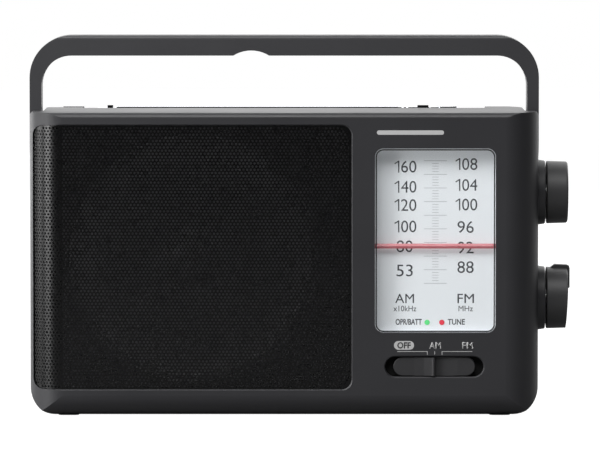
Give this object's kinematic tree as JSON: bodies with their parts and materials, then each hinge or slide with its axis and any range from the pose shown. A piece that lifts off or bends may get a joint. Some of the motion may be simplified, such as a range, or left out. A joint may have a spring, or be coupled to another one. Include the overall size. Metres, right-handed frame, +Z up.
{
  "type": "portable radio",
  "caption": "Portable two-band radio with a fold-down carrying handle, perforated speaker grille, vertical dial with a moving pointer, side knobs and a telescopic antenna.",
  "frame": {"origin": "centre of the bounding box in X and Y at the height of the table under the feet", "axes": "+X to the right seen from the front, +Y from the front face to the back, +Z up"},
  "size_m": [0.2114, 0.0606, 0.1475],
  "materials": {
    "case_plastic": "fine matte grain",
    "handle_plastic": "fine matte grain",
    "knob_plastic": "smooth satin",
    "grille_metal": "satin black",
    "lens_clear": "clear, polished",
    "dial_white": "satin white",
    "pointer_red": "translucent",
    "led_green": "clear diffused",
    "led_red": "clear diffused",
    "plated_steel": "zinc plated",
    "antenna_chrome": "bright plated",
    "clip_plastic": "smooth black",
    "cord_thread": "braided",
    "white_plastic": "moulded",
    "capacitor_plastic": "moulded",
    "board_green": "solder mask",
    "component_metal": "plain",
    "ferrite": "sintered",
    "copper_wire": "enamelled",
    "core_steel": "varnished laminations",
    "winding_tape": "wrapped tape",
    "socket_black": "smooth black",
    "gasket_foam": "foam",
    "basket_steel": "zinc plated sheet",
    "cone_paper": "pressed pulp",
    "magnet_ferrite": "sintered",
    "battery_wrap": "wrapped",
    "contact_steel": "nickel plated",
    "foot_rubber": "matt",
    "washer_nylon": "moulded",
    "wire_red": "insulated"
  },
  "bodies": {
    "case": {"front_case": "case_plastic", "rear_case": "case_plastic", "knob_collars": "case_plastic", "speaker_grille": "grille_metal", "dial_lens": "lens_clear", "dial_plate": "dial_white", "guide_rod": "plated_steel", "tuning_bracket": "plated_steel", "dial_cord": "cord_thread", "tuning_capacitor": "capacitor_plastic", "volume_control": "component_metal", "band_switch": "plated_steel", "switch_board": "board_green", "led_green": "led_green", "led_red": "led_red", "main_board": "board_green", "board_components": "component_metal", "ferrite_rod": "ferrite", "ferrite_coil": "copper_wire", "ferrite_holders": "white_plastic", "transformer_core": "core_steel", "transformer_coil": "winding_tape", "ac_inlet": "socket_black", "ac_pins": "contact_steel", "headphone_jack": "socket_black", "speaker_gasket": "gasket_foam", "speaker_frame": "basket_steel", "speaker_magnet": "magnet_ferrite", "speaker_yoke": "plated_steel", "speaker_screws": "plated_steel", "battery_cells": "battery_wrap", "battery_contacts": "contact_steel", "handle_pivots": "knob_plastic", "handle_washers": "washer_nylon", "antenna_rests": "clip_plastic", "rubber_feet": "foot_rubber", "case_screws": "plated_steel", "wiring": "wire_red"},
    "handle": {"handle": "handle_plastic"},
    "tuning": {"tuning_knob": "knob_plastic", "tuning_spindle": "plated_steel"},
    "drum": {"cord_drum": "white_plastic"},
    "upper_pulley": {"pulley_top": "white_plastic"},
    "lower_pulley": {"pulley_bottom": "white_plastic"},
    "pointer": {"dial_pointer": "pointer_red", "pointer_carriage": "white_plastic"},
    "volume": {"volume_knob": "knob_plastic", "volume_shaft": "plated_steel"},
    "switch_slider": {"band_switch_cap": "knob_plastic"},
    "cone": {"speaker_cone": "cone_paper", "speaker_surround": "gasket_foam", "voice_coil": "copper_wire"},
    "door": {"battery_door": "case_plastic"},
    "turret": {"antenna_base": "antenna_chrome"},
    "rod": {"antenna_fitting": "antenna_chrome", "antenna_tube_1": "antenna_chrome"},
    "section_2": {"antenna_tube_2": "antenna_chrome"},
    "section_3": {"antenna_tube_3": "antenna_chrome"},
    "section_4": {"antenna_tube_4": "antenna_chrome"},
    "section_tip": {"antenna_tip": "antenna_chrome"}
  },
  "joints": [
    {"name": "handle_fold", "type": "hinge", "parent": "case", "child": "handle", "pos_m": [-0.00615, -0.0017, 0.1055], "axis": [-1, 0, 0], "range_deg": [0, 90]},
    {"name": "tuning_turn", "type": "hinge", "parent": "case", "child": "tuning", "pos_m": [-0.00615, -0.0042, 0.086], "axis": [1, 0, 0], "range_deg": [-325, 763]},
    {"name": "drum_turn", "type": "hinge", "parent": "case", "child": "drum", "pos_m": [-0.00615, 0.0083, 0.066], "axis": [1, 0, 0], "range_deg": [-127, 55]},
    {"name": "upper_pulley_turn", "type": "hinge", "parent": "case", "child": "upper_pulley", "pos_m": [-0.00615, -0.0202, 0.11], "axis": [1, 0, 0], "range_deg": [-598, 256]},
    {"name": "lower_pulley_turn", "type": "hinge", "parent": "case", "child": "lower_pulley", "pos_m": [-0.00615, -0.0202, 0.03], "axis": [1, 0, 0], "range_deg": [-598, 256]},
    {"name": "pointer_slide", "type": "slide", "parent": "case", "child": "pointer", "axis": [0, 0, 1], "range_m": [-0.0142, 0.0334]},
    {"name": "volume_turn", "type": "hinge", "parent": "case", "child": "volume", "pos_m": [-0.00615, -0.0042, 0.0446], "axis": [1, 0, 0], "range_deg": [-150, 150]},
    {"name": "band_slide", "type": "slide", "parent": "case", "child": "switch_slider", "axis": [1, 0, 0], "range_m": [-0.0029, 0.0029]},
    {"name": "cone_stroke", "type": "slide", "parent": "case", "child": "cone", "axis": [0, 1, 0], "range_m": [-0.0008, 0.0008], "stiffness_N_per_m": 1200},
    {"name": "door_hinge", "type": "hinge", "parent": "case", "child": "door", "pos_m": [-0.00615, 0.02925, 0.0086], "axis": [-1, 0, 0], "range_deg": [0, 90]},
    {"name": "antenna_swivel", "type": "hinge", "parent": "case", "child": "turret", "pos_m": [0.05835, 0.0243, 0.1158], "axis": [0, 0, 1], "range_deg": [-130, 0]},
    {"name": "antenna_tilt", "type": "hinge", "parent": "turret", "child": "rod", "pos_m": [0.05835, 0.0243, 0.1158], "axis": [0, 1, 0], "range_deg": [0, 90]},
    {"name": "section_2_slide", "type": "slide", "parent": "rod", "child": "section_2", "axis": [-1, 0, 0], "range_m": [0, 0.095]},
    {"name": "section_3_slide", "type": "slide", "parent": "section_2", "child": "section_3", "axis": [-1, 0, 0], "range_m": [0, 0.095]},
    {"name": "section_4_slide", "type": "slide", "parent": "section_3", "child": "section_4", "axis": [-1, 0, 0], "range_m": [0, 0.095]},
    {"name": "tip_slide", "type": "slide", "parent": "section_4", "child": "section_tip", "axis": [-1, 0, 0], "range_m": [0, 0.095]}
  ],
  "couplings": [
    {"joint": "pointer_slide", "follows": "tuning_turn", "m_per_rad": 0.0025},
    {"joint": "drum_turn", "follows": "tuning_turn", "ratio": -0.16535},
    {"joint": "upper_pulley_turn", "follows": "tuning_turn", "ratio": -0.78125},
    {"joint": "lower_pulley_turn", "follows": "tuning_turn", "ratio": -0.78125}
  ]
}
